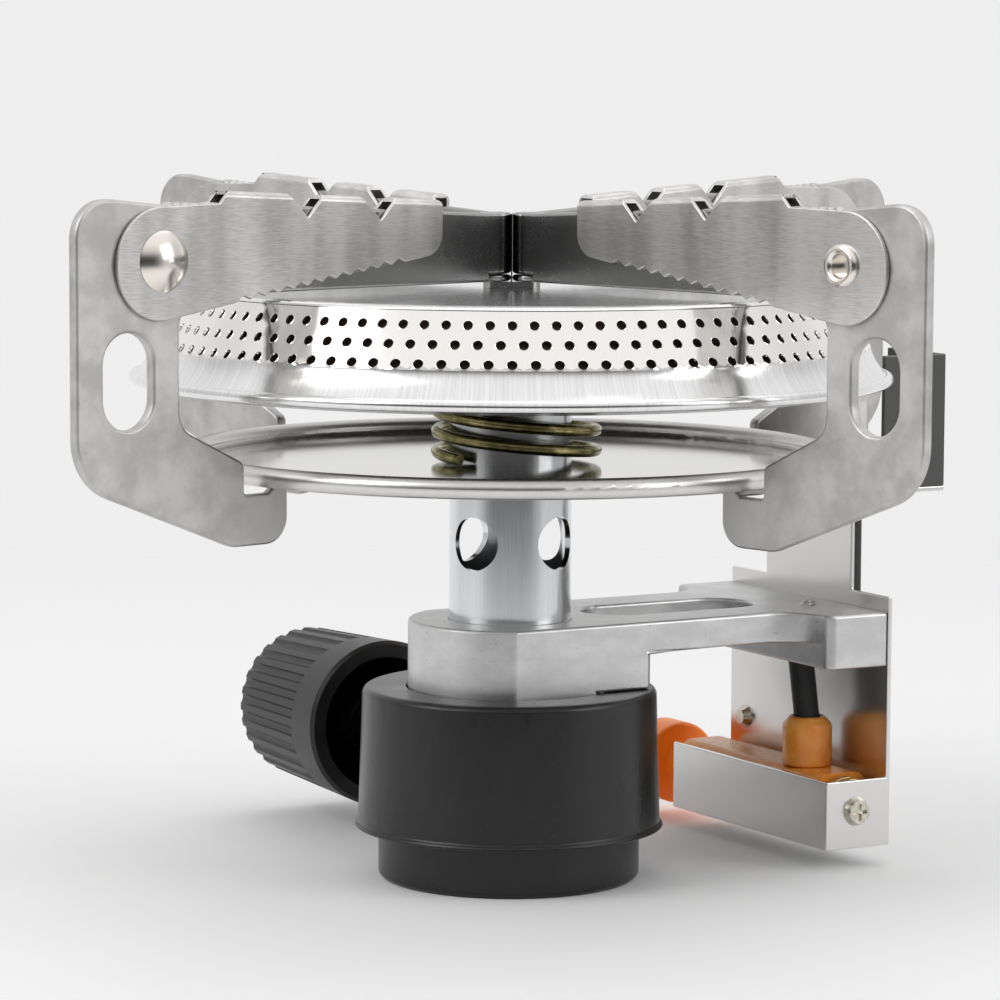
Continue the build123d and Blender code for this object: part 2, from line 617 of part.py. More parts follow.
with BuildPart() as igniter_bracket:
    slab((plate_x, -end_half, box_low), (out_x, end_half, shoulder_z))
    slab((end_start, -end_half, box_low), (out_x, end_half, box_low + sheet))
    slab((end_start, -end_half, box_low), (end_start + sheet, end_half, box_top))
    slab((end_start, -end_half, box_low), (out_x, -end_half + sheet, box_top))
    slab((plate_x, strap_low_y, shoulder_z), (out_x, strap_high_y, strap_top))
    slab((plate_x, guard_low_y, strap_top), (out_x, guard_high_y, shelf_z))
    slab((plate_x, guard_low_y, shelf_z - sheet), (guard_end, guard_high_y, shelf_z))
    with BuildSketch(Plane.YZ.offset(plate_x - 1)):
        with Locations((lead_y, lead_turn)):
            Circle(lead_radius + 0.3)
        with Locations((-screw_y, screw_z), (screw_y, screw_z), (dome_y, dome_z)):
            Circle(1.25)
    extrude(amount=3, mode=Mode.SUBTRACT)
    with BuildSketch(Plane.XY.offset(shelf_z - 2)):
        with Locations((electrode_x, lead_y)):
            Circle(insulator_radius + seat)
    extrude(amount=4, mode=Mode.SUBTRACT)
    with BuildSketch(Plane.XZ.offset(end_half + 1)):
        with Locations((lead_x, igniter_z)):
            Circle(1.3)
    extrude(amount=-3, mode=Mode.SUBTRACT)
save(igniter_bracket, "igniter_bracket")

# electrode guard: an angle that stands on the shelf, open towards the burner
with BuildPart() as electrode_guard:
    slab((guard_start, guard_low_y, shelf_z + seat), (guard_end, guard_low_y + sheet, guard_top))
    slab((guard_end - sheet, guard_low_y, shelf_z + seat), (guard_end, guard_high_y, guard_top))
save(electrode_guard, "electrode_guard")

# insulator and electrode rod
rod_top, rod_bend, rod_tip = ring_low_z + 3.6, 2.0, ring_low_r + 0.6
insulator_top = rod_top - 13.2
with BuildPart() as electrode_insulator:
    with BuildSketch(Plane.XY.offset(insulator_low)):
        with Locations((electrode_x, lead_y)):
            Circle(insulator_radius)
    extrude(amount=insulator_top - insulator_low)
    with BuildSketch(Plane.XY.offset(shelf_z + seat)):
        with Locations((electrode_x, lead_y)):
            Circle(insulator_radius + 0.8)
    extrude(amount=2)
    with BuildSketch(Plane.XY.offset(insulator_top - 12)):
        with Locations((electrode_x, lead_y)):
            Circle(electrode_radius)
    extrude(amount=14, mode=Mode.SUBTRACT)
save(electrode_insulator, "electrode_insulator")

with BuildPart() as electrode_rod:
    with BuildLine() as rod:
        Line((electrode_x, lead_y, insulator_top - 12), (electrode_x, lead_y, rod_top - rod_bend))
        TangentArc((electrode_x, lead_y, rod_top - rod_bend), (electrode_x - rod_bend, lead_y, rod_top),
                   tangent=(0, 0, 1))
        Line((electrode_x - rod_bend, lead_y, rod_top), (rod_tip, lead_y, rod_top))
    rod_path = rod.wires()[0]
    with BuildSketch(Plane(origin=rod_path @ 0, z_dir=rod_path % 0)):
        Circle(electrode_radius)
    sweep(path=rod_path)
save(electrode_rod, "electrode_rod")

# igniter body: lies in the holder box, with the terminal boss on top
box_in_low = end_start + sheet + seat
body_start, body_stop = -end_half + sheet + 3.4, end_half - 0.8
body_top_z = box_top + 0.4
terminal_radius = 3.6
bolt_radius = 2.6
with BuildPart() as igniter_body:
    with BuildSketch(Plane.XZ.offset(-body_start)):
        with Locations((lead_x, (box_low + sheet + seat + body_top_z) / 2)):
            RectangleRounded(2 * (lead_x - box_in_low), body_top_z - box_low - sheet - seat, 2.0)
    extrude(amount=-(body_stop - body_start))
    # the button's stem slides in this bore
    with BuildSketch(Plane.XZ.offset(-body_stop + 14)):
        with Locations((lead_x, igniter_z)):
            Circle(bolt_radius + play)
    extrude(amount=-20, mode=Mode.SUBTRACT)
save(igniter_body, "igniter_body")

with BuildPart() as igniter_terminal:
    with BuildSketch(Plane.XY.offset(body_top_z + seat)):
        with Locations((lead_x, terminal_y)):
            Circle(terminal_radius)
    extrude(amount=terminal_top - body_top_z - seat - 1.2)
    with BuildSketch(Plane.XY.offset(terminal_top - 1.2)):
        with Locations((lead_x, terminal_y)):
            Circle(terminal_radius)
    extrude(amount=1.2, taper=40)
    # the lead ends in a socket
    with BuildSketch(Plane.XY.offset(terminal_top - socket - 0.6)):
        with Locations((lead_x, terminal_y)):
            Circle(lead_radius + 0.35)
    extrude(amount=socket + 1, mode=Mode.SUBTRACT)
save(igniter_terminal, "igniter_terminal")

# igniter button: the orange cap with its stem
button_start = end_half + button_travel + 0.6
with BuildPart() as igniter_button:
    turned([(0, button_start + button_length), (2.6, button_start + button_length - 0.3),
            (button_radius - 1.2, button_start + button_length - 1.4), (button_radius, button_start + button_length - 3.4),
            (button_radius, button_start), (bolt_radius, button_start), (bolt_radius, body_stop - 8), (0, body_stop - 8)],
           Plane(origin=(lead_x, 0, igniter_z), x_dir=(1, 0, 0), z_dir=(0, 0, 1)),
           Axis((lead_x, 0, igniter_z), (0, 1, 0)))
save(igniter_button, "igniter_button")

# brass contact washers behind the holder's end flap, and the screw through them
washer_radius = 4.2
with BuildPart() as contact_washers:
    for start in (-end_half + sheet + seat, -end_half + sheet + 1.7):
        with BuildSketch(Plane.XZ.offset(-start)):
            with Locations((lead_x, igniter_z + 0.4)):
                Circle(washer_radius)
            with Locations((lead_x, igniter_z)):
                Circle(1.3, mode=Mode.SUBTRACT)
        extrude(amount=-1.2)
save(contact_washers, "contact_washers")


def pan_head(centre, outward, shank, grip):
    # pan head with a cross recess, shank running inward from the face
    face = Plane(origin=centre, z_dir=outward)
    with BuildSketch(face) as head:
        Circle(2.1)
    extrude(head.sketch, amount=1.0, taper=22)
    with BuildSketch(face) as stem:
        Circle(shank)
    extrude(stem.sketch, amount=-grip)
    with BuildSketch(face.offset(0.45)) as cross:
        Rectangle(2.4, 0.5)
        Rectangle(0.5, 2.4)
    extrude(cross.sketch, amount=2, mode=Mode.SUBTRACT)


with BuildPart() as holder_screw:
    pan_head((lead_x, -end_half - seat, igniter_z), (0, -1, 0), 1.25, 3.6)
save(holder_screw, "holder_screw")

# screws that hold the bracket to the end block, from behind
with BuildPart() as bracket_screws:
    for y in (-screw_y, screw_y):
        pan_head((out_x + seat, y, screw_z), (1, 0, 0), screw_radius, screw_length)
save(bracket_screws, "bracket_screws")

# dome rivet in the back plate
with BuildPart() as plate_rivet:
    face = Plane(origin=(plate_x - seat, dome_y, dome_z), z_dir=(-1, 0, 0))
    with BuildSketch(face):
        Circle(1.7)
    extrude(amount=1.1, taper=30)
    with BuildSketch(face):
        Circle(1.2)
    extrude(amount=-(sheet + 2 * seat))
    with BuildSketch(face.offset(-(sheet + 2 * seat))):
        Circle(1.8)
    extrude(amount=-0.6)
save(plate_rivet, "plate_rivet")
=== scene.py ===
# %% [markdown]
# # A folding camping stove
#
# The solids of this stove come from CAD, with their joints, and they stay where they are.
# Blender adds what CAD leaves plain: soft edges, the pierced flame ring, and a finish for each metal and plastic.
# Everything is in metres, in the CAD model's own frame: +Z is up, and the igniter arm runs along +X.

# %% Load the solids
import json
from math import cos, pi, radians, sin

import bmesh
import bpy
from mathutils import Matrix, Quaternion, Vector

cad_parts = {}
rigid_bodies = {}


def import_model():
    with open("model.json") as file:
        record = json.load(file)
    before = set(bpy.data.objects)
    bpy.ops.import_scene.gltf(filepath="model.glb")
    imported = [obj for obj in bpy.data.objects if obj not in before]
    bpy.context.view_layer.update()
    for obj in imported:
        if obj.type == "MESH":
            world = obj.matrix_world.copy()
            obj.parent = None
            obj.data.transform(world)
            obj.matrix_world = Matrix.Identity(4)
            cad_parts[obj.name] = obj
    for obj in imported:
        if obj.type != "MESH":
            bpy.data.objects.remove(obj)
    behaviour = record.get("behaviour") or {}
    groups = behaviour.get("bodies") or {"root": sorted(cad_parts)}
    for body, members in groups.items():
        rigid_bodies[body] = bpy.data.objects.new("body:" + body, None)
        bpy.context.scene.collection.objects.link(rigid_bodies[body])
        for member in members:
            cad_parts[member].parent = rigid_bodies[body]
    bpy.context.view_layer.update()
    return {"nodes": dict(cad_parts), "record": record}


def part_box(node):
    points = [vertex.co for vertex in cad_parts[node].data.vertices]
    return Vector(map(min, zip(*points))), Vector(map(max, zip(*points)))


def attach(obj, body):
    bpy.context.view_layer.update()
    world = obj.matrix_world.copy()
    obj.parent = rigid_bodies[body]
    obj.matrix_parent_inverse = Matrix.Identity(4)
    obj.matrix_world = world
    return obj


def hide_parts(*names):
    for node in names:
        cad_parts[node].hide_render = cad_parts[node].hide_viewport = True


for leftover in list(bpy.data.objects):
    bpy.data.objects.remove(leftover)
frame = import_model()
mm = 0.001
body_of = {node: body for body, members in frame["record"]["behaviour"]["bodies"].items() for node in members}

# %% [markdown]
# ## Camera
#
# A long lens from a little above the burner rim gives the flat, close look of a product picture.
# The place is worked out from a viewing side, an elevation and a distance, so that each can be changed alone.
# A small roll follows the stove's slight lean in the picture.

# %% Place the camera
view_side, elevation, roll = radians(240), radians(6.2), radians(0.3)
distance, lens, sensor, nearest = 605 * mm, 154.6, 36, 10 * mm
aim_height, aim_left = 53.5 * mm, 1.48 * mm
picture_right = Vector((-sin(view_side), cos(view_side), 0))
towards_camera = Vector((cos(view_side) * cos(elevation), sin(view_side) * cos(elevation), sin(elevation)))
aim = Vector((0, 0, aim_height)) - picture_right * aim_left

camera = bpy.data.objects.new("camera", bpy.data.cameras.new("camera"))
bpy.context.collection.objects.link(camera)
camera.data.lens, camera.data.sensor_width, camera.data.clip_start = lens, sensor, nearest
camera.location = aim + towards_camera * distance
camera.rotation_mode = "QUATERNION"
camera.rotation_quaternion = (-towards_camera).to_track_quat("-Z", "Y") @ Quaternion((0, 0, 1), roll)
bpy.context.scene.camera = camera
print("camera at", [round(v, 3) for v in camera.location])

# %% [markdown]
# ## Node trees as Python expressions
#
# A shader could be wired up node by node, but the sums disappear among the links.
# Here one small class wraps a socket, and each operator on it adds the Math node that does the sum.
# The same base class builds Geometry Nodes trees later, because a tree is a tree.


# %% Wrap sockets and trees
class Value:
    """One output socket. Arithmetic on it adds Math nodes to its tree."""

    def __init__(self, nodes, socket):
        self.nodes, self.socket = nodes, socket

    def math(self, operation, *values):
        return self.nodes.node("ShaderNodeMath", {"operation": operation}, dict(enumerate(values)))

    def __add__(self, other):
        return self.math("ADD", self, other)

    def __radd__(self, other):
        return self.math("ADD", other, self)

    def __sub__(self, other):
        return self.math("SUBTRACT", self, other)

    def __rsub__(self, other):
        return self.math("SUBTRACT", other, self)

    def __mul__(self, other):
        return self.math("MULTIPLY", self, other)

    def __truediv__(self, other):
        return self.math("DIVIDE", self, other)

    def __pow__(self, other):
        return self.math("POWER", self, other)

    def rise(self, low, high):
        """0 below low, 1 above high, smooth between."""
        return self.nodes.node("ShaderNodeMapRange", {"interpolation_type": "SMOOTHSTEP"},
                               {"Value": self, "From Min": low, "From Max": high})


class Nodes:
    """A node tree, with one method that adds any node."""

    def __init__(self, tree):
        self.tree = tree

    def feed(self, socket, value):
        if isinstance(value, Value):
            self.tree.links.new(value.socket, socket)
        else:
            socket.default_value = value

    def node(self, kind, settings=None, sockets=None, output=0):
        made = self.tree.nodes.new(kind)
        for name, value in (settings or {}).items():
            setattr(made, name, value)
        for key, value in (sockets or {}).items():
            self.feed(made.inputs[key], value)
        return Value(self, made.outputs[output])


class Finish(Nodes):
    """A material: constants go straight to the Principled shader's sockets, patterns are linked in."""

    def __init__(self, name, **constants):
        self.material = bpy.data.materials.new(name)
        self.material.use_nodes = True
        super().__init__(self.material.node_tree)
        self.shader = next(n for n in self.tree.nodes if n.type == "BSDF_PRINCIPLED")
        self.wear(**constants)

    def wear(self, **values):
        for name, value in values.items():
            self.feed(self.shader.inputs[name.replace("_", " ").title().replace("Ior", "IOR")], value)

    def place(self, size=(1, 1, 1), turn=0):
        """Object coordinates, turned about Z and then counted in grains of this size."""
        where = self.node("ShaderNodeTexCoord", output="Object")
        return self.node("ShaderNodeMapping", {"vector_type": "TEXTURE"},
                         {"Vector": where, "Rotation": (0, 0, turn), "Scale": size})

    def round_z(self, per_turn, along):
        """Coordinates that follow a turned surface: per_turn grains round the Z axis, along metres up it."""
        where = self.node("ShaderNodeTexCoord", output="Object")
        split = self.node("ShaderNodeSeparateXYZ", None, {0: where}).socket.node
        x, y, z = (Value(self, s) for s in split.outputs)
        radius = (x * x + y * y + 1e-12) ** 0.5
        share = per_turn / (2 * pi)
        return self.node("ShaderNodeCombineXYZ", None, {0: x / radius * share, 1: y / radius * share, 2: z / along})

    def radius(self):
        """Distance from the stove's axis."""
        where = self.node("ShaderNodeTexCoord", output="Object")
        flat = self.node("ShaderNodeVectorMath", {"operation": "MULTIPLY"}, {0: where, 1: (1, 1, 0)})
        return self.node("ShaderNodeVectorMath", {"operation": "LENGTH"}, {0: flat}, output="Value")

    def noise(self, where, detail=2.0, roughness=0.5):
        return self.node("ShaderNodeTexNoise", None,
                         {"Vector": where, "Scale": 1.0, "Detail": detail, "Roughness": roughness})

    def mix(self, share, first, second):
        return self.node("ShaderNodeMix", {"data_type": "RGBA"}, {0: share, 6: first, 7: second}, output=2)

    def bump(self, height, depth, strength=1.0):
        self.wear(normal=self.node("ShaderNodeBump", None,
                                   {"Height": height, "Distance": depth, "Strength": strength}))


def grey(level, warmth=0.0):
    return (level * (1 + warmth), level, level * (1 - warmth), 1.0)


# %% [markdown]
# ## Studio
#
# Polished metal shows whatever stands round it, so the studio matters as much as the metal.
# The world is pale behind the stove, bright overhead and darker on the camera's side.
# The camera itself sees an even backdrop, and so does metal that faces away from it.

# %% Paint the world
world = bpy.data.worlds.new("studio")
world.use_nodes = True
bpy.context.scene.world = world
bpy.context.scene.view_settings.view_transform = "Standard"

sky = Nodes(world.node_tree)
backdrop, wall, dark_side = grey(0.86), grey(0.62), grey(0.035)
ceiling, ceiling_gloss = 0.7, 0.27   # polished metal sees a brighter ceiling than matt surfaces do
direction = sky.node("ShaderNodeTexCoord", output="Generated")
facing = sky.node("ShaderNodeVectorMath", {"operation": "DOT_PRODUCT"},
                  {0: direction, 1: (cos(view_side), sin(view_side), 0)}, output="Value")
height = Value(sky, sky.node("ShaderNodeSeparateXYZ", None, {0: direction}).socket.node.outputs["Z"])
rays = sky.node("ShaderNodeLightPath").socket.node
camera_ray, glossy_ray, through_ray = (Value(sky, rays.outputs[f"Is {kind} Ray"])
                                       for kind in ("Camera", "Glossy", "Transmission"))
behind_camera = facing.rise(0.35, 0.9) * (1 - height.rise(0.12, 0.45))
room = sky.node("ShaderNodeMix", {"data_type": "RGBA"},
                {0: behind_camera, 6: wall, 7: dark_side}, output=2)
lit = sky.node("ShaderNodeMix", {"data_type": "RGBA"},
               {0: height.rise(0.3, 0.8), 6: room, 7: ceiling + glossy_ray * ceiling_gloss}, output=2)
seen = camera_ray + (glossy_ray + through_ray) * (1 - facing.rise(-0.7, -0.3))
shown = sky.node("ShaderNodeMix", {"data_type": "RGBA"}, {0: seen, 6: lit, 7: backdrop}, output=2)
background = next(n for n in world.node_tree.nodes if n.type == "BACKGROUND")
sky.feed(background.inputs["Color"], shown)
print("world nodes:", len(world.node_tree.nodes))

# %% [markdown]
# ## Lamps and floor
#
# Softbox lamps add the highlights. Each is placed by its angle from the camera, its height angle and its distance.
# The floor is paper that turns clear further out, so that only the stove's soft shadow shows.

# %% Place the lamps and the floor
lamp_aim = 60 * mm


def softbox(name, side, up, away, size, power):
    """A square lamp at a side angle from the camera and a height angle, facing the burner."""
    a, e = view_side + radians(side), radians(up)
    lamp = bpy.data.lights.new(name, "AREA")
    lamp.energy, lamp.size = power, size
    holder = bpy.data.objects.new(name, lamp)
    bpy.context.collection.objects.link(holder)
    target = Vector((0, 0, lamp_aim))
    holder.location = target + away * Vector((cos(a) * cos(e), sin(a) * cos(e), sin(e)))
    holder.rotation_euler = (target - holder.location).to_track_quat("-Z", "Y").to_euler()


softbox("key", side=-62, up=34, away=0.9, size=0.55, power=2.7)
softbox("fill", side=68, up=22, away=0.95, size=0.5, power=1.8)
softbox("top", side=160, up=72, away=0.8, size=0.7, power=1.0)

floor_mesh = bpy.data.meshes.new("floor")
reach, fade_start, fade_end = 1.2, 0.16, 0.5
floor_mesh.from_pydata([(-reach, -reach, 0), (reach, -reach, 0), (reach, reach, 0), (-reach, reach, 0)], [],
                       [(0, 1, 2, 3)])
floor = bpy.data.objects.new("floor", floor_mesh)
bpy.context.collection.objects.link(floor)
paper = Finish("paper", base_color=grey(0.93), roughness=0.9)
clear = paper.node("ShaderNodeBsdfTransparent")
out = next(n for n in paper.tree.nodes if n.type == "OUTPUT_MATERIAL")
fade = paper.node("ShaderNodeMixShader", None,
                  {0: paper.radius().rise(fade_start, fade_end), 1: Value(paper, paper.shader.outputs[0]), 2: clear})
paper.feed(out.inputs["Surface"], fade)
floor_mesh.materials.append(paper.material)

# %% [markdown]
# ## Finishes
#
# Each metal on a stove is made a different way, and the way shows.
# Rolled sheet has a fine satin grain, polished sheet has faint turning lines, and a casting has a grainy skin.
# So each finish is its own short function, with the grain's real size in metres.


# %% Black and dark plastics
def skirt_moulding():
    """Black moulding with a low sheen that changes a little from place to place."""
    finish = Finish("black_moulding", base_color=grey(0.012), roughness=0.3, specular_ior_level=0.45)
    cloud = finish.noise(finish.place((6 * mm, 6 * mm, 9 * mm)), 3)
    grain = finish.noise(finish.place((0.25 * mm,) * 3), 2)
    finish.wear(roughness=0.22 + cloud * 0.14,
                base_color=finish.mix(cloud.rise(0.35, 0.75), grey(0.008), grey(0.013)))
    finish.bump(grain, 0.012 * mm, 0.5)
    return finish.material


def knob_moulding():
    """Dark grey moulding, a little lighter and rougher than the skirt's."""
    finish = Finish("dark_grey_moulding", base_color=grey(0.045), roughness=0.5)
    cloud = finish.noise(finish.place((3 * mm, 5 * mm, 3 * mm)), 3)
    grain = finish.noise(finish.place((0.18 * mm,) * 3), 2)
    finish.wear(roughness=0.3 + cloud * 0.18,
                base_color=finish.mix(cloud.rise(0.3, 0.8), grey(0.011), grey(0.02)))
    finish.bump(grain, 0.015 * mm, 0.6)
    return finish.material


# %% Sheet metals
def metal(name, level, warmth=0.0):
    return Finish(name, base_color=grey(level, warmth), metallic=1.0)


def satin_sheet():
    """Blasted sheet: rough and pale on the uprights, smoother towards the middle, where its colour is painted darker
    as a painted reflection of the dark room.
    """
    finish = metal("satin_sheet", 0.5, 0.01)
    blast = finish.noise(finish.place((0.14 * mm,) * 3), 2, 0.6)
    cloud = finish.noise(finish.place((6 * mm,) * 3), 5, 0.62)
    outward = finish.radius().rise(34 * mm, 60 * mm)
    pale = finish.mix(cloud.rise(0.34, 0.66), grey(0.47, 0.014), grey(0.63, 0.012))
    # painted reflection: the colour darkens towards the middle, where the strips would reflect the dark side of the
    # room
    finish.wear(roughness=0.14 + outward * 0.22 + blast * 0.1 + cloud * 0.12,
                base_color=finish.mix(outward, grey(0.36, 0.01), pale))
    finish.bump(blast * (0.25 + outward), 0.018 * mm, 0.7)
    return finish.material


def brushed_sheet(name, turn):
    """Sheet brushed along its length, which lies at this turn about Z, with soft upright bands of painted reflection
    in its colour.
    """
    finish = metal(name, 0.6, 0.01)
    fine = finish.noise(finish.place((1.8 * mm, 0.5 * mm, 0.09 * mm), turn), 3, 0.6)
    cloud = finish.noise(finish.place((5 * mm, 3 * mm, 30 * mm), turn), 2)
    # painted reflection: the long upright cloud darkens and lightens the colour in bands; the fine noise is the real
    # brushing
    finish.wear(roughness=0.24 + fine * 0.12 + cloud * 0.1,
                base_color=finish.mix((fine + cloud).rise(0.7, 1.3), grey(0.5, 0.012), grey(0.74, 0.012)))
    finish.bump(fine, 0.012 * mm, 0.6)
    return finish.material


def bright_sheet(name, level, warmth, roughness):
    """Rolled or plated metal: fine upright lines and a smear that dulls it here and there."""
    finish = metal(name, level, warmth)
    smear = finish.noise(finish.place((5 * mm,) * 3), 3)
    lines = finish.noise(finish.place((0.2 * mm, 0.2 * mm, 8 * mm)), 2)
    finish.wear(roughness=roughness + smear * 0.07 + lines * 0.03)
    finish.bump(lines, 0.004 * mm, 0.4)
    return finish.material


def polished_turned(name, level, warmth, roughness, streak, satin_from=1.0):
    """Polished sheet with fine marks up the slope, as the spinning and brushing leave them.

    Outside the radius satin_from it is satin, as a rolled bead is."""
    finish = metal(name, level, warmth)
    marks = finish.noise(finish.round_z(900, 9 * mm), 3, 0.6)
    smear = finish.noise(finish.round_z(26, 6 * mm), 2)
    satin = finish.radius().rise(satin_from, satin_from + 0.2 * mm)
    dark, light = grey(level * (1 - streak), warmth), grey(level * (1 + streak), warmth)
    finish.wear(roughness=roughness + marks * streak + smear * 0.05 + satin * 0.2,
                base_color=finish.mix(marks.rise(0.3, 0.75), dark, light))
    finish.bump(marks, 0.006 * mm, streak * 3)
    return finish.material


# %% Cast, turned and plated metals
def cast_aluminium():
    """A tumbled casting: fine grain, a cloudy skin and a few small pits."""
    finish = metal("cast_aluminium", 0.6)
    grain = finish.noise(finish.place((0.22 * mm,) * 3), 2, 0.6)
    skin = finish.noise(finish.place((6 * mm, 6 * mm, 3 * mm)), 5, 0.65)
    pits = finish.noise(finish.place((0.5 * mm,) * 3), 1).rise(0.72, 0.77)
    clean = finish.mix(skin.rise(0.35, 0.7), grey(0.6), grey(0.7))
    finish.wear(roughness=0.3 + grain * 0.12 + skin * 0.1, base_color=finish.mix(pits, clean, grey(0.42)))
    finish.bump(grain + skin * 0.3, 0.014 * mm, 0.6)
    return finish.material


def turned_brass(name="turned_brass", dark=(0.62, 0.4, 0.14, 1), light=(0.8, 0.58, 0.26, 1)):
    """Brass with the fine rings that a lathe leaves, tarnished in patches."""
    finish = Finish(name, base_color=dark, metallic=1.0)
    rings = finish.noise(finish.place((6 * mm, 0.12 * mm, 6 * mm)), 2)
    cloud = finish.noise(finish.place((1.6 * mm,) * 3), 3)
    finish.wear(roughness=0.2 + rings * 0.12 + cloud * 0.1,
                base_color=finish.mix(cloud.rise(0.35, 0.75), dark, light))
    return finish.material


def passivated_wire():
    """Drawn spring wire, yellow where the passivation is thick."""
    finish = Finish("yellow_passivated_wire", base_color=(0.4, 0.34, 0.15, 1), metallic=1.0)
    cloud = finish.noise(finish.place((2.2 * mm,) * 3), 3, 0.6)
    drawn = finish.noise(finish.place((1.2 * mm, 1.2 * mm, 0.2 * mm)), 2)
    finish.wear(roughness=0.16 + drawn * 0.12,
                base_color=finish.mix(cloud.rise(0.35, 0.7), (0.19, 0.175, 0.07, 1), (0.4, 0.35, 0.17, 1)))
    return finish.material


def plated_screw():
    """Zinc-plated steel with a faint warm cloud."""
    finish = metal("plated_screw", 0.66, 0.05)
    cloud = finish.noise(finish.place((0.8 * mm,) * 3), 3)
    finish.wear(roughness=0.2 + cloud * 0.15,
                base_color=finish.mix(cloud.rise(0.4, 0.7), (0.6, 0.56, 0.46, 1), (0.75, 0.72, 0.66, 1)))
    return finish.material


# %% Igniter plastics, rubber and ceramic
def moulded(name, dark, light, roughness, grain_size=0.3 * mm, painted_glow=0.0):
    """A moulded surface. Its glow setting is painted light: a little emission that brightens the part, though it is
    no lamp.
    """
    finish = Finish(name, base_color=dark, roughness=roughness, emission_color=dark, emission_strength=painted_glow)
    cloud = finish.noise(finish.place((3 * mm,) * 3), 3)
    grain = finish.noise(finish.place((grain_size,) * 3), 2)
    finish.wear(roughness=roughness + cloud * 0.12, base_color=finish.mix(cloud.rise(0.3, 0.75), dark, light))
    finish.bump(grain, 0.008 * mm, 0.5)
    return finish.material


finishes = {
    "skirt": skirt_moulding(),
    "knob": knob_moulding(),
    "brass": turned_brass(),
    "seal": moulded("black_seal", grey(0.012), grey(0.02), 0.55),
    "spindle": bright_sheet("turned_steel", 0.6, 0.0, 0.2),
    "diecast": cast_aluminium(),
    "tube": polished_turned("plated_tube", 0.78, -0.02, 0.12, 0.07),
    "tray": polished_turned("polished_tray", 0.7, 0.02, 0.07, 0.02, satin_from=44.1 * mm),
    "spring": passivated_wire(),
    "burner": polished_turned("polished_pan", 0.84, 0.0, 0.14, 0.07),
    "ring": polished_turned("polished_ring", 0.88, 0.025, 0.06, 0.01),
    "support": satin_sheet(),
    "arm": brushed_sheet("brushed_arm", radians(193.3)),
    "rivet": bright_sheet("rivet_nickel", 0.82, 0.07, 0.16),
    "bracket": bright_sheet("rolled_bracket", 0.74, 0.012, 0.2),
    "guard": bright_sheet("dark_guard", 0.12, 0.01, 0.28),
    "ceramic": moulded("glazed_ceramic", (0.78, 0.75, 0.68, 1), (0.85, 0.83, 0.78, 1), 0.18),
    "igniter": moulded("amber_moulding", (0.86, 0.27, 0.03, 1), (0.95, 0.41, 0.075, 1), 0.2),
    # painted glow: the orange button gets a little emission so that it looks brighter
    "button": moulded("orange_moulding", (1.0, 0.2, 0.006, 1), (1.0, 0.26, 0.012, 1), 0.3, painted_glow=0.07),
    "lead": moulded("black_sleeve", grey(0.012), grey(0.02), 0.5),
    "screw": plated_screw(),
}
slot_of = {s["node"]: s["material_slot"] for s in frame["record"]["subparts"]}
for name, solid in frame["nodes"].items():
    solid.data.materials.clear()
    solid.data.materials.append(finishes[slot_of[name]])
# painted shade: the brass in the knob's hollow, and the hinge leaf further on, are painted near black for the shade
# there
shade_dark_brass = turned_brass("brass_darkened_for_shade", (0.016, 0.014, 0.012, 1), (0.03, 0.026, 0.02, 1))
for name in ("gland_housing", "packing_nut"):
    frame["nodes"][name].data.materials[0] = shade_dark_brass
print("finishes:", len(finishes))

# %% [markdown]
# ## Soft edges
#
# CAD edges are perfectly sharp, but a stamped or moulded edge always has a small round that catches the light.
# A bevel could be drawn on every solid in CAD, at the cost of slow and fragile models.
# It is quicker to bevel a copy here: loose triangles are merged, flat faces are joined and sharp edges are rounded.
# The rounds have their real sizes: a tumbled leg is softer than a folded arm, and a casting is softer than both.


# %% Bevel copies of the solids
def dress(piece, node):
    """The piece stands for this solid and moves with its body."""
    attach(piece, body_of[node])
    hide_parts(node)
    return piece


def link(name, mesh, *materials):
    piece = bpy.data.objects.new(name, mesh)
    bpy.context.collection.objects.link(piece)
    for material in materials:
        mesh.materials.append(material)
    return piece


def settle(piece):
    """Turns the modifiers into plain mesh."""
    depsgraph = bpy.context.evaluated_depsgraph_get()
    mesh = bpy.data.meshes.new_from_object(piece.evaluated_get(depsgraph))
    piece.modifiers.clear()
    piece.data = mesh
    return mesh


def softened(node, radius):
    """A copy of this solid with its sharp edges rounded."""
    work = bmesh.new()
    work.from_mesh(frame["nodes"][node].data)
    bmesh.ops.remove_doubles(work, verts=work.verts, dist=1e-6)
    bmesh.ops.dissolve_limit(work, angle_limit=radians(0.5), verts=work.verts, edges=work.edges)
    mesh = bpy.data.meshes.new(node + "_soft")
    work.to_mesh(mesh)
    work.free()
    mesh.shade_smooth()
    piece = link(node + "_soft", mesh, finishes[slot_of[node]])
    bevel = piece.modifiers.new("edges", "BEVEL")
    bevel.limit_method, bevel.angle_limit = "ANGLE", sharp_from
    bevel.width, bevel.segments, bevel.use_clamp_overlap = radius, edge_steps, False
    weighted = piece.modifiers.new("flat faces stay flat", "WEIGHTED_NORMAL")
    weighted.keep_sharp = True
    low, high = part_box(node)
    for vertex in settle(piece).vertices:   # a bevel in a tight notch can overshoot by a hair
        vertex.co = [min(max(v, least), most) for v, least, most in zip(vertex.co, low, high)]
    return dress(piece, node)


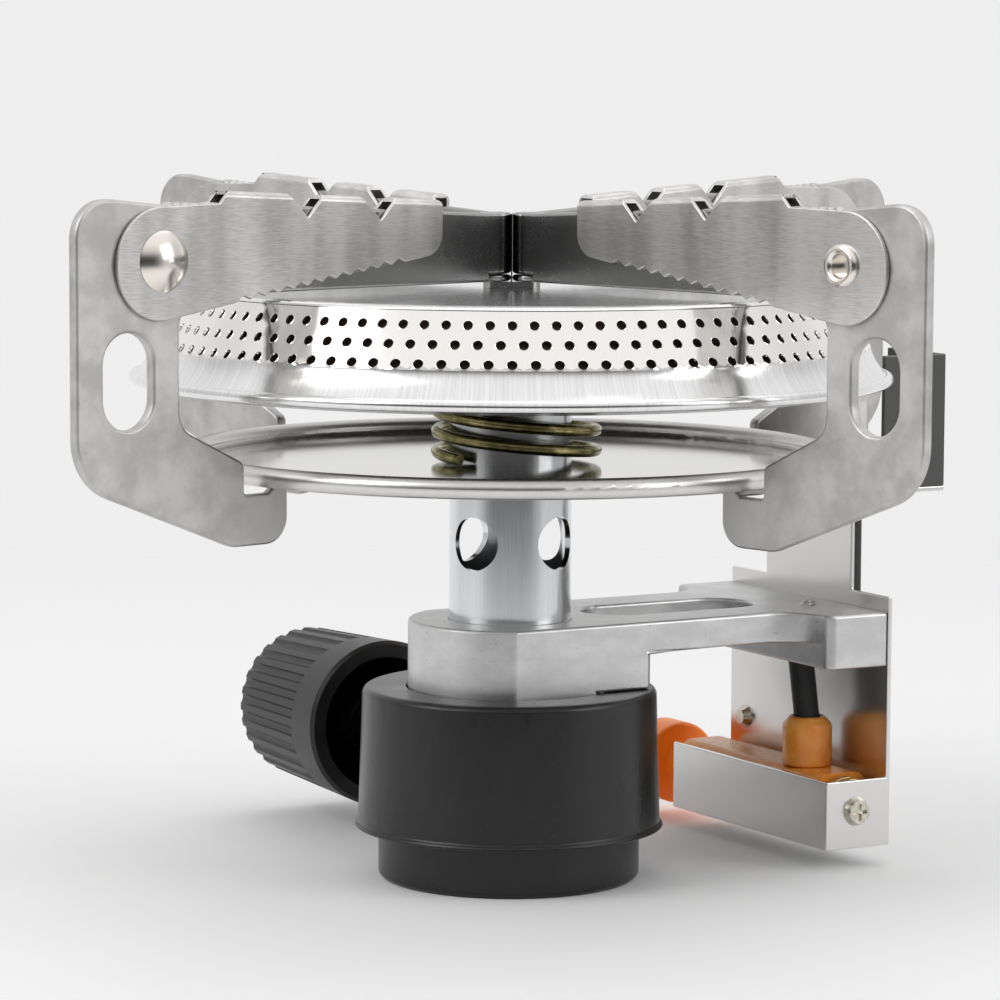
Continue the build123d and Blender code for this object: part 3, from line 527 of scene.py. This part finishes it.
sharp_from, edge_steps = radians(34), 3
support_side = 238.3   # degrees: the supports stand two and two beside this direction
corners = {"front_left": -45, "front_right": 45, "back_right": 135, "back_left": 225}
edge_rounds = {f"leg_{corner}": 0.45 * mm for corner in corners}
edge_rounds |= {f"arm_{corner}": 0.16 * mm for corner in corners}
edge_rounds |= {"diecast_head": 0.5 * mm, "igniter_bracket": 0.2 * mm, "electrode_guard": 0.2 * mm,
                "valve_skirt": 0.3 * mm, "igniter_button": 0.6 * mm, "burner_cap": 0.2 * mm,
                "igniter_terminal": 0.35 * mm, "contact_washers": 0.15 * mm}
soft = {node: softened(node, radius) for node, radius in edge_rounds.items()}
for corner, beside in corners.items():
    turn = radians((support_side + beside) % 360)
    soft[f"arm_{corner}"].data.materials[0] = brushed_sheet(f"brushed_arm_{corner}", turn)
print("softened:", {node: len(piece.data.polygons) for node, piece in soft.items()})

# %% [markdown]
# ## Pierced flame ring
#
# The ring is a cone of thin sheet with three rows of small ports, each with a bright round lip.
# Cutting 300 holes with booleans is slow and leaves poor meshes.
# Instead one column of three hole cells is laid out on the cone, and repeated round the axis in the next step.
# The middle row is moved by half a step, so each cell's border has points at every quarter step, and the rows join.

# %% Lay out one column of ports
ring_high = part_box("flame_ring")[1]
ring_draw, ring_height = 4.7 * mm, 7.4 * mm
ring_foot_r, ring_foot_z = ring_high.x, ring_high.z - ring_height
slant = (ring_draw ** 2 + ring_height ** 2) ** 0.5
ports, port_rows, row_step = 102, (0.75 * mm, 3.2 * mm, 5.65 * mm), 2.45 * mm
lip = ((0.78 * mm, 0.0), (0.7 * mm, 0.03 * mm), (0.62 * mm, -0.3 * mm))
pitch, sides = 2 * pi / ports, 16   # each port and its cell have this many sides


def on_ring(turn, rise, lift=0.0):
    """A point at this height up the cone, lifted along its outward normal."""
    out, up = ring_height / slant, ring_draw / slant
    r = ring_foot_r - ring_draw * max(rise, 0) / ring_height + lift * out
    return (r * cos(turn), r * sin(turn), ring_foot_z + rise + lift * up)


def border(step):
    """Where a ray at one sixteenth of a turn times step meets a square of half side 1, on quarter points."""
    side = [(1, -1), (1, -0.5), (1, 0), (1, 0.5)]
    u, v = side[(step + 2) % 4]
    for _ in range((step + 2) // 4 % 4):
        u, v = -v, u
    return u, v


def port_cell(points, faces, turn, rise):
    """A square of the cone with one port in it: the square's border, then the rings of the lip."""
    rings = [[on_ring(turn + u * pitch / 2, rise + v * row_step / 2) for u, v in map(border, range(sides))]]
    for radius, lift in lip:
        around = [2 * pi * k / sides for k in range(sides)]
        rings.append([on_ring(turn + radius * cos(a) / ring_foot_r,
                              rise + radius * sin(a) * ring_height / slant, lift) for a in around])
    start = len(points)
    for ring in rings:
        points.extend(ring)
    for level in range(len(rings) - 1):
        for k in range(sides):
            a, b = start + sides * level + k, start + sides * level + (k + 1) % sides
            faces.append((a, b, b + sides, a + sides))


def plain_strip(points, faces, low, high):
    """The sheet above the last row, in quarter steps so that it joins the cells."""
    for k in range(4):
        start = len(points)
        near, far = (k - 2) * pitch / 4, (k - 1) * pitch / 4
        points.extend([on_ring(near, low), on_ring(far, low), on_ring(far, high), on_ring(near, high)])
        faces.append(tuple(range(start, start + 4)))


column_points, column_faces = [], []
for row, rise in enumerate(port_rows):
    port_cell(column_points, column_faces, pitch / 2 * (row % 2), rise)
plain_strip(column_points, column_faces, port_rows[-1] + row_step / 2, ring_height)
column = bpy.data.meshes.new("port_column")
column.from_pydata(column_points, [], column_faces)
print("port column:", len(column_faces), "faces")

# %% [markdown]
# ## Repeat the column round the axis
#
# Geometry Nodes places one copy of the column at each step of the turn, and merges the points where two columns meet.
# The number of copies is an input of the node tree, so it can be changed without touching the tree.


# %% Repeat the ports
def repeat_round(piece, count, material):
    """Geometry Nodes: the piece's own mesh, count times round the Z axis, joined and given its material."""
    tree = bpy.data.node_groups.new("repeat_round", "GeometryNodeTree")
    tree.interface.new_socket("Geometry", in_out="INPUT", socket_type="NodeSocketGeometry")
    copies = tree.interface.new_socket("Copies", in_out="INPUT", socket_type="NodeSocketInt")
    tree.interface.new_socket("Geometry", in_out="OUTPUT", socket_type="NodeSocketGeometry")
    g = Nodes(tree)
    given = tree.nodes.new("NodeGroupInput").outputs
    mesh, number = Value(g, given["Geometry"]), Value(g, given["Copies"])
    line = g.node("GeometryNodeMeshLine", None, {"Count": number, "Offset": (0, 0, 0)})
    turn = g.node("GeometryNodeInputIndex") * (2 * pi) / number
    rotation = g.node("FunctionNodeEulerToRotation", None, {0: g.node("ShaderNodeCombineXYZ", None, {2: turn})})
    copies_made = g.node("GeometryNodeInstanceOnPoints", None,
                         {"Points": line, "Instance": mesh, "Rotation": rotation})
    joined = g.node("GeometryNodeMergeByDistance", None,
                    {"Geometry": g.node("GeometryNodeRealizeInstances", None, {"Geometry": copies_made}),
                     "Distance": 0.002 * mm})
    painted = g.node("GeometryNodeSetMaterial", None, {"Geometry": joined, "Material": material})
    g.feed(tree.nodes.new("NodeGroupOutput").inputs["Geometry"], painted)
    modifier = piece.modifiers.new("repeat_round", "NODES")
    modifier.node_group = tree
    modifier[copies.identifier] = count
    settle(piece).shade_smooth()
    return piece


ring = repeat_round(link("pierced_ring", column), ports, finishes["ring"])
ring.data.set_sharp_from_angle(angle=radians(14))   # the lips stay crisp, and the cone reflects evenly
dress(ring, "flame_ring")
print("pierced ring:", ports * len(port_rows), "ports,", len(ring.data.polygons), "faces")

# %% [markdown]
# ## Turned pan
#
# The burner pan is spun from sheet: a sloping floor, a rolled rim, and a flange that flares up to the ring.
# A lathe is the natural way to draw it: its outline is a few points, with the two round stretches as formulas.
# The dark cone behind the ports is painted shade for the burner's inside, with a brown tint for the heat colour seen
# through the ports.


# %% Turn the pan and the burner's inside
def lathe(name, outline, material, steps=192):
    """An outline of (radius, height) points, turned round the Z axis.

    It runs anticlockwise, so faces point outward."""
    points = [(r * cos(2 * pi * k / steps), r * sin(2 * pi * k / steps), z)
              for k in range(steps) for r, z in outline]
    n = len(outline)
    faces = [(k * n + i, (k + 1) % steps * n + i, (k + 1) % steps * n + (i + 1) % n, k * n + (i + 1) % n)
             for k in range(steps) for i in range(n)]
    mesh = bpy.data.meshes.new(name)
    mesh.from_pydata(points, [], faces)
    mesh.shade_smooth()
    mesh.set_sharp_from_angle(angle=radians(32))
    return link(name, mesh, material)


pan_low, pan_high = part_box("burner_pan")
rim_r, floor_z, flange_z = pan_high.x, pan_low.z, pan_high.z
tube_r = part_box("mixing_tube")[1].x
bead, bead_lift = 0.8 * mm, 3.2 * mm
bead_r, bead_z = rim_r - bead, floor_z + bead_lift + bead
rolled = [(bead_r + bead * cos(a), bead_z + bead * sin(a)) for a in (radians(-110 + 10 * k) for k in range(23))]
flare_r, flare_low = rolled[-1]
flare_power = 1.6
flange = [(ring_foot_r + (flare_r - ring_foot_r) * (1 - t) ** flare_power, flare_low + (flange_z - flare_low) * t)
          for t in (k / 10 for k in range(1, 11))]
inner = [(r - 0.6 * mm, z) for r, z in reversed(flange[3:])]
flat_r, slope_r, floor_sheet = 16 * mm, rim_r - 4 * mm, 0.7 * mm
slope_low, slope_high = floor_z + 2.6 * mm, floor_z + 3.4 * mm
underside = [(tube_r, floor_z), (flat_r, floor_z), (slope_r, slope_low)]
topside = [(slope_r, slope_high), (flat_r, floor_z + floor_sheet), (tube_r, floor_z + floor_sheet)]
pan = lathe("turned_pan", [*underside, *rolled, *flange, *inner, *topside], finishes["burner"])
dress(pan, "burner_pan")

# painted shade: a dark brown cone that keeps the ports dark, where the burner's inside is in shade
inside_shade_brown = Finish("browned_inside_shade", base_color=(0.11, 0.07, 0.042, 1), roughness=0.6)
inside_in, inside_thick = 1.1 * mm, 0.3 * mm
foot, head = ring_foot_r - inside_in, ring_foot_r - ring_draw - inside_in
foot_z, head_z = ring_foot_z - 0.5 * mm, ring_high.z - 0.3 * mm
inside = lathe("burner_inside", [(foot, foot_z), (head, head_z), (head - inside_thick, head_z),
                                 (foot - inside_thick, foot_z)], inside_shade_brown.material)
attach(inside, body_of["flame_ring"])
print("pan:", len(pan.data.polygons), "faces")

# %% [markdown]
# ## Hinge leaf of painted shade
#
# The legs' rolled ends turn side by side on two pins, and no light comes through between them.
# A thin dark leaf that stands on the hub closes the gap: it is painted shade for the dark line between the rolled
# ends, not a real spacer.
# It is one scaled cube, turned to the supports' own direction.

# %% Stand the leaf on the hub
hub_top, pin_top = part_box("leg_hub")[1].z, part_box("hinge_pins")[1].z
shade_leaf_size = (4.4 * mm, 0.14 * mm, pin_top - hub_top)
work = bmesh.new()
bmesh.ops.create_cube(work, size=1, matrix=Matrix.Translation((0, 0, (hub_top + pin_top) / 2))
                      @ Matrix.Rotation(radians(support_side), 4, "Z") @ Matrix.Diagonal((*shade_leaf_size, 1)))
shade_leaf_mesh = bpy.data.meshes.new("hinge_shade_leaf")
work.to_mesh(shade_leaf_mesh)
work.free()
shade_leaf = link("hinge_shade_leaf", shade_leaf_mesh, shade_dark_brass)
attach(shade_leaf, body_of["leg_hub"])
print("leaf:", [round(v / mm, 2) for v in shade_leaf_size], "mm")
